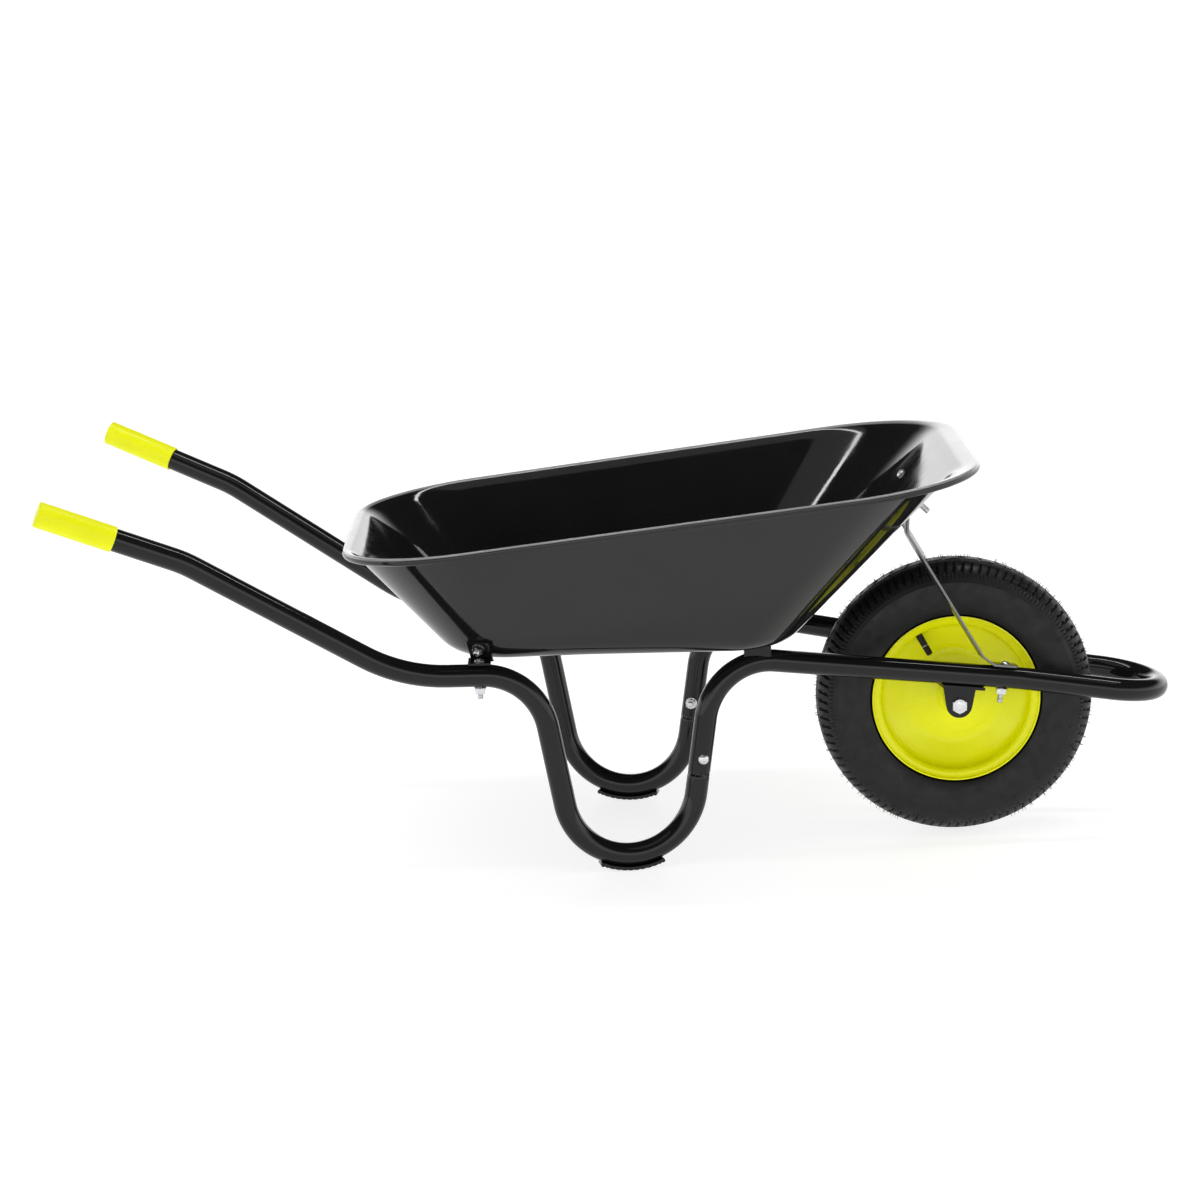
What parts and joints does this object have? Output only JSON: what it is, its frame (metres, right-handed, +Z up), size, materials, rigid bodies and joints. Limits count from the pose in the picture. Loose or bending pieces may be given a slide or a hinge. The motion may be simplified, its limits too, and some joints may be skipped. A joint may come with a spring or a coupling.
{
  "type": "wheelbarrow",
  "caption": "Garden wheelbarrow with a pressed steel tray on a bent tube frame, bolted leg loops, moulded grips and a spinning pneumatic wheel on ball bearings.",
  "frame": {"origin": "on the ground, under the middle of the barrow's length and width", "axes": "+X forward to the wheel, +Y to the user's left, +Z up"},
  "size_m": [1.4902, 0.7146, 0.5368],
  "materials": {
    "black_paint": "gloss black paint over steel",
    "lime_plastic": "semi-gloss lime yellow moulded plastic",
    "lime_paint": "gloss lime yellow paint over pressed steel",
    "zinc_plate": "bright zinc plate",
    "bearing_steel": "ground bearing steel",
    "tyre_rubber": "matt black tyre rubber with shallow cross grooves",
    "black_rubber": "smooth black rubber"
  },
  "bodies": {
    "frame": {"tray": "black_paint", "handle_tube_left": "black_paint", "handle_tube_right": "black_paint", "front_hoop": "black_paint", "wear_plate_left": "black_paint", "wear_plate_right": "black_paint", "rear_bracket_left": "black_paint", "rear_bracket_right": "black_paint", "front_saddle_left": "black_paint", "front_saddle_right": "black_paint", "axle_bracket_left": "black_paint", "axle_bracket_right": "black_paint", "grip_left": "lime_plastic", "grip_right": "lime_plastic", "brace_strap_left": "zinc_plate", "brace_strap_right": "zinc_plate", "axle_bolt": "zinc_plate", "axle_nut": "zinc_plate", "axle_washer": "zinc_plate", "axle_spacers": "zinc_plate", "leg_bolts": "zinc_plate", "leg_nuts": "zinc_plate", "rear_tube_bolts": "zinc_plate", "rear_tube_nuts": "zinc_plate", "rear_tray_bolts": "zinc_plate", "rear_tray_nuts": "zinc_plate", "front_tray_bolts": "zinc_plate", "front_tray_nuts": "zinc_plate", "brace_tube_bolts": "zinc_plate", "brace_tube_nuts": "zinc_plate", "brace_tray_bolts": "zinc_plate", "brace_tray_nuts": "zinc_plate", "bearing_inner_races": "bearing_steel"},
    "wheel": {"tyre": "tyre_rubber", "inner_tube": "black_rubber", "rim_left": "lime_paint", "rim_right": "lime_paint", "hub_tube": "lime_paint", "bearing_outer_races": "bearing_steel", "bearing_balls": "bearing_steel", "valve_stem": "black_rubber", "valve_cap": "black_rubber"}
  },
  "joints": [
    {"name": "wheel_spin", "type": "hinge", "parent": "frame", "child": "wheel", "pos_m": [0.4517, 0, 0.189], "axis": [0, 1, 0], "continuous": true}
  ]
}
